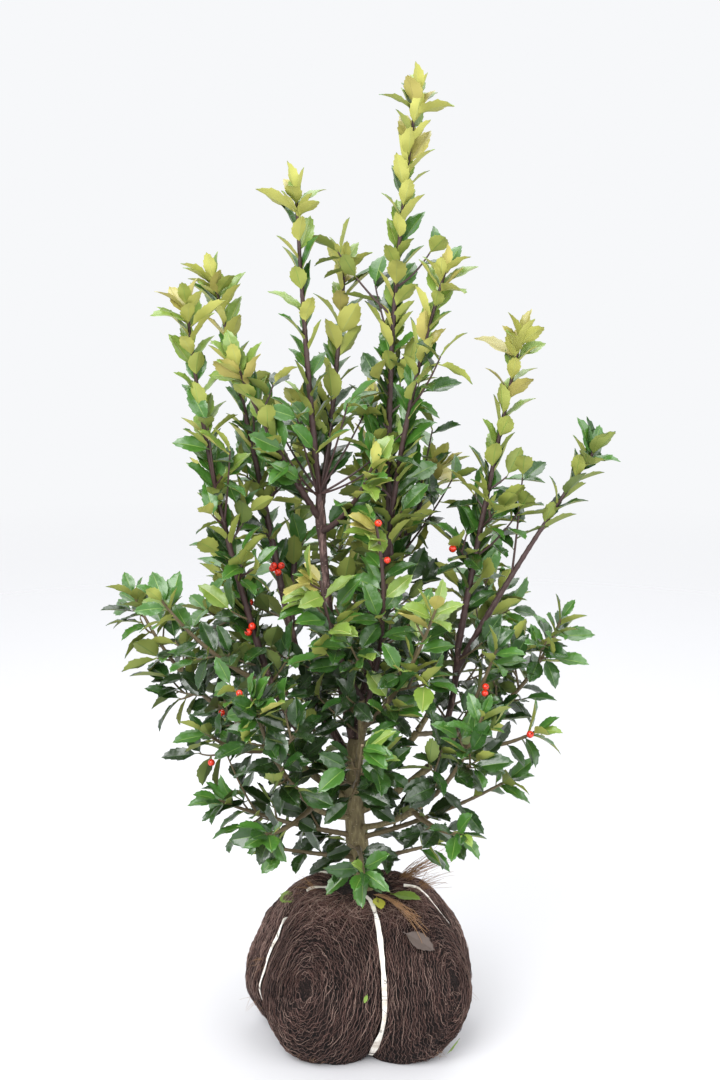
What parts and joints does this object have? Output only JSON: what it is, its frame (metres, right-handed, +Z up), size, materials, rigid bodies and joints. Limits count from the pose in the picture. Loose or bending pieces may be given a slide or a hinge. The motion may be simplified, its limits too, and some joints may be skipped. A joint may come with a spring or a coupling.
{
  "type": "meserve holly on its root ball",
  "caption": "Young evergreen holly shrub with upright leafy shoots and red berries, on a coir-wrapped root ball tied with pale bands.",
  "frame": {"origin": "the middle of the root ball's flat underside, on the surface that the ball stands on", "axes": "+Z up along the plant, +X to the viewer's right in the picture, -Y towards the viewer"},
  "size_m": [0.5979, 0.486, 1.2044],
  "materials": {
    "coir": "matte coconut-fibre wrap over soil",
    "band": "off-white flat tying band, slightly creased",
    "bark": "smooth olive-brown bark with fine lenticels",
    "young_bark": "purple-brown young bark, satin",
    "foliage": "glossy dark green leaves with paler matte undersides"
  },
  "bodies": {
    "root": {"root_ball": "coir", "band_1": "band", "band_2": "band", "band_3": "band", "band_4": "band", "band_5": "band", "trunk": "bark", "bough_leader": "young_bark", "bough_pollard": "young_bark", "bough_left_inner": "young_bark", "bough_left_outer": "young_bark", "bough_left_main": "young_bark", "bough_right_main": "young_bark", "bough_right_upper": "young_bark", "bough_back_inner": "young_bark", "bough_front_stems": "young_bark", "bough_front_left": "young_bark", "bough_front_right": "young_bark", "bough_back_left": "young_bark", "bough_back_middle": "young_bark", "bough_back_right": "young_bark", "leaves_leader_shoot": "foliage", "leaves_second_shoot": "foliage", "leaves_tall_left_shoot": "foliage", "leaves_pollard_right": "foliage", "leaves_pollard_left": "foliage", "leaves_pollard_front": "foliage", "leaves_left_inner_shoot": "foliage", "leaves_left_heart": "foliage", "leaves_left_outer_shoot": "foliage", "leaves_left_shoulder": "foliage", "leaves_left_far": "foliage", "leaves_left_reach": "foliage", "leaves_right_high": "foliage", "leaves_right_far": "foliage", "leaves_right_main": "foliage", "leaves_right_reach": "foliage", "leaves_right_rise": "foliage", "leaves_back_shoot": "foliage", "leaves_back_crown": "foliage", "leaves_front_left_stem": "foliage", "leaves_front_stem": "foliage", "leaves_front_right_stem": "foliage", "leaves_front_left": "foliage", "leaves_front_left_low": "foliage", "leaves_front_right": "foliage", "leaves_front_right_low": "foliage", "leaves_front_middle": "foliage", "leaves_front_skirt": "foliage", "leaves_left_low": "foliage", "leaves_left_skirt": "foliage", "leaves_right_low": "foliage", "leaves_right_skirt": "foliage", "leaves_back_left": "foliage", "leaves_back_left_low": "foliage", "leaves_back_middle": "foliage", "leaves_back_middle_low": "foliage", "leaves_back_right": "foliage", "leaves_back_right_low": "foliage", "leaves_back_skirt": "foliage"}
  },
  "joints": []
}
